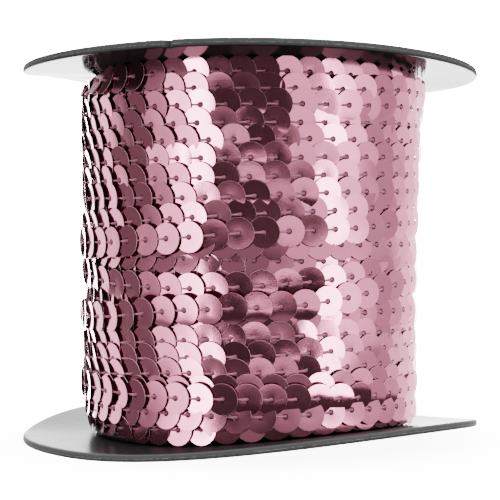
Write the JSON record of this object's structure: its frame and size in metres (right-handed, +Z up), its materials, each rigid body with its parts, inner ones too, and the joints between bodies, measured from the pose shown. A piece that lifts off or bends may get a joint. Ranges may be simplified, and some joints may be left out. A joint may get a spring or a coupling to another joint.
{
  "type": "sequin trim on spool",
  "caption": "Rose-pink sequin string wound in level turns on a black plastic spool with thin round flanges; stands on its lower flange.",
  "frame": {"origin": "middle of the lower flange's underside, on the spool's axis, at the surface that it stands on", "axes": "+Z up along the spool's axis; the front of the picture is -Y; +X is to its right"},
  "size_m": [0.0936, 0.0936, 0.0783],
  "materials": {
    "black_plastic": "glossy moulded polystyrene with fine scratches",
    "rose_sequins": "mirror-bright metallised film sequins on rose thread"
  },
  "bodies": {
    "root": {"lower_flange": "black_plastic", "upper_flange": "black_plastic", "winding": "rose_sequins"}
  },
  "joints": []
}
